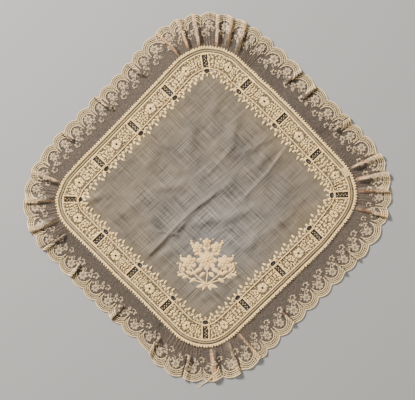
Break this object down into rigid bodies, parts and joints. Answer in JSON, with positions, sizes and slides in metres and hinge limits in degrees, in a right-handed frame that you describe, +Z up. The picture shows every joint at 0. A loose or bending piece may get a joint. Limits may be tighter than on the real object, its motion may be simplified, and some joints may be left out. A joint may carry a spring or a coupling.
{
  "type": "lace handkerchief",
  "caption": "Square linen handkerchief with rounded corners, a corded hem with drawn-thread windows and a gathered, pleated frill of scalloped lace, laid out flat.",
  "frame": {"origin": "centre of the whole cloth's box, on the surface that it lies on", "axes": "+Z up from that surface, the way the worked side faces; +Y towards one corner of the cloth and +X towards the next, clockwise as seen from above"},
  "size_m": [0.4764, 0.4792, 0.005],
  "materials": {
    "linen": "fine semi-sheer plain-weave linen, slightly creased, with ivory embroidery",
    "lace": "matt aged cotton lace, open net with dense ivory motifs"
  },
  "bodies": {
    "root": {"linen_centre": "linen", "lace_frill": "lace"}
  },
  "joints": []
}
